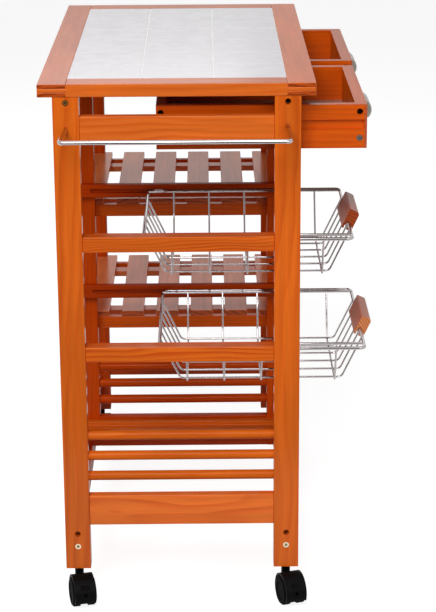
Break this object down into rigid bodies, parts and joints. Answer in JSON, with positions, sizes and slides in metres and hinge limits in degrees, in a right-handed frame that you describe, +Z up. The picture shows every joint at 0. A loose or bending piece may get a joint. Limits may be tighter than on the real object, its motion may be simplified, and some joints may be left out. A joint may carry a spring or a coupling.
{
  "type": "kitchen trolley",
  "caption": "Rolling wooden kitchen trolley with a tiled worktop, sliding drawers, wire baskets, slatted shelves and a towel bar.",
  "frame": {"origin": "on the floor, under the centre of the worktop", "axes": "+X along the length, from the towel bar end towards the shelf end; -Y towards the drawer fronts; +Z up"},
  "size_m": [0.7551, 0.4588, 0.75],
  "materials": {
    "pine": "lacquered",
    "board": "plain board",
    "drawer_bottom": "printed board",
    "handle": "lacquered",
    "tile": "glazed ceramic",
    "grout": "matt",
    "pull": "brushed nickel",
    "chrome_wire": "polished",
    "screw": "bronzed",
    "drawer_screw": "plated",
    "socket": "plated",
    "caster": "moulded nylon",
    "wheel": "moulded nylon"
  },
  "bodies": {
    "frame": {"top_stile_front": "pine", "top_stile_back": "pine", "top_end_rail_left": "pine", "top_end_rail_right": "pine", "tile_board": "board", "tiles": "tile", "grout": "grout", "post_left_front": "pine", "post_left_back": "pine", "post_middle_front": "pine", "post_middle_back": "pine", "post_right_front": "pine", "post_right_back": "pine", "left_top_rail": "pine", "left_upper_rail": "pine", "left_lower_rail": "pine", "left_dowels": "pine", "left_foot_rail": "pine", "left_basket_runners": "pine", "middle_basket_runners": "pine", "bottle_ledge": "pine", "middle_dowels": "pine", "middle_foot_rail": "pine", "middle_shelf_rails": "pine", "right_top_rail": "pine", "right_shelf_rails": "pine", "right_foot_rail": "pine", "upper_shelf_slats": "pine", "lower_shelf_slats": "pine", "shelf_battens": "pine", "long_foot_rails": "pine", "top_aprons": "pine", "drawer_runners": "pine", "towel_bar": "chrome_wire", "frame_screws": "screw", "caster_sockets": "socket"},
    "drawer_left": {"left_drawer_front": "pine", "left_drawer_sides": "pine", "left_drawer_back": "pine", "left_drawer_bottom": "drawer_bottom", "left_drawer_pull": "pull", "left_drawer_screws": "drawer_screw"},
    "drawer_right": {"right_drawer_front": "pine", "right_drawer_sides": "pine", "right_drawer_back": "pine", "right_drawer_bottom": "drawer_bottom", "right_drawer_pull": "pull", "right_drawer_screws": "drawer_screw"},
    "basket_upper": {"upper_basket": "chrome_wire", "upper_basket_handle": "handle"},
    "basket_lower": {"lower_basket": "chrome_wire", "lower_basket_handle": "handle"},
    "caster_left_front": {"caster_left_front": "caster"},
    "wheels_left_front": {"wheels_left_front": "wheel"},
    "caster_left_back": {"caster_left_back": "caster"},
    "wheels_left_back": {"wheels_left_back": "wheel"},
    "caster_right_front": {"caster_right_front": "caster"},
    "wheels_right_front": {"wheels_right_front": "wheel"},
    "caster_right_back": {"caster_right_back": "caster"},
    "wheels_right_back": {"wheels_right_back": "wheel"}
  },
  "joints": [
    {"name": "left_drawer_slide", "type": "slide", "parent": "frame", "child": "drawer_left", "axis": [0, -1, 0], "range_m": [-0.0904, 0.12]},
    {"name": "right_drawer_slide", "type": "slide", "parent": "frame", "child": "drawer_right", "axis": [0, -1, 0], "range_m": [-0.0932, 0.12]},
    {"name": "upper_basket_slide", "type": "slide", "parent": "frame", "child": "basket_upper", "axis": [0, -1, 0], "range_m": [-0.0816, 0.13]},
    {"name": "lower_basket_slide", "type": "slide", "parent": "frame", "child": "basket_lower", "axis": [0, -1, 0], "range_m": [-0.101, 0.1106]},
    {"name": "left_front_swivel", "type": "hinge", "parent": "frame", "child": "caster_left_front", "pos_m": [-0.323, -0.1476, 0], "axis": [0, 0, 1], "continuous": true},
    {"name": "left_front_roll", "type": "hinge", "parent": "caster_left_front", "child": "wheels_left_front", "pos_m": [-0.34345, -0.15424, 0.021], "axis": [-0.309, 0.9511, 0], "continuous": true},
    {"name": "left_back_swivel", "type": "hinge", "parent": "frame", "child": "caster_left_back", "pos_m": [-0.323, 0.1476, 0], "axis": [0, 0, 1], "continuous": true},
    {"name": "left_back_roll", "type": "hinge", "parent": "caster_left_back", "child": "wheels_left_back", "pos_m": [-0.34386, 0.1424, 0.021], "axis": [-0.2419, 0.9703, 0], "continuous": true},
    {"name": "right_front_swivel", "type": "hinge", "parent": "frame", "child": "caster_right_front", "pos_m": [0.323, -0.1476, 0], "axis": [0, 0, 1], "continuous": true},
    {"name": "right_front_roll", "type": "hinge", "parent": "caster_right_front", "child": "wheels_right_front", "pos_m": [0.30214, -0.1528, 0.021], "axis": [-0.2419, 0.9703, 0], "continuous": true},
    {"name": "right_back_swivel", "type": "hinge", "parent": "frame", "child": "caster_right_back", "pos_m": [0.323, 0.1476, 0], "axis": [0, 0, 1], "continuous": true},
    {"name": "right_back_roll", "type": "hinge", "parent": "caster_right_back", "child": "wheels_right_back", "pos_m": [0.30171, 0.14461, 0.021], "axis": [-0.1392, 0.9903, 0], "continuous": true}
  ]
}
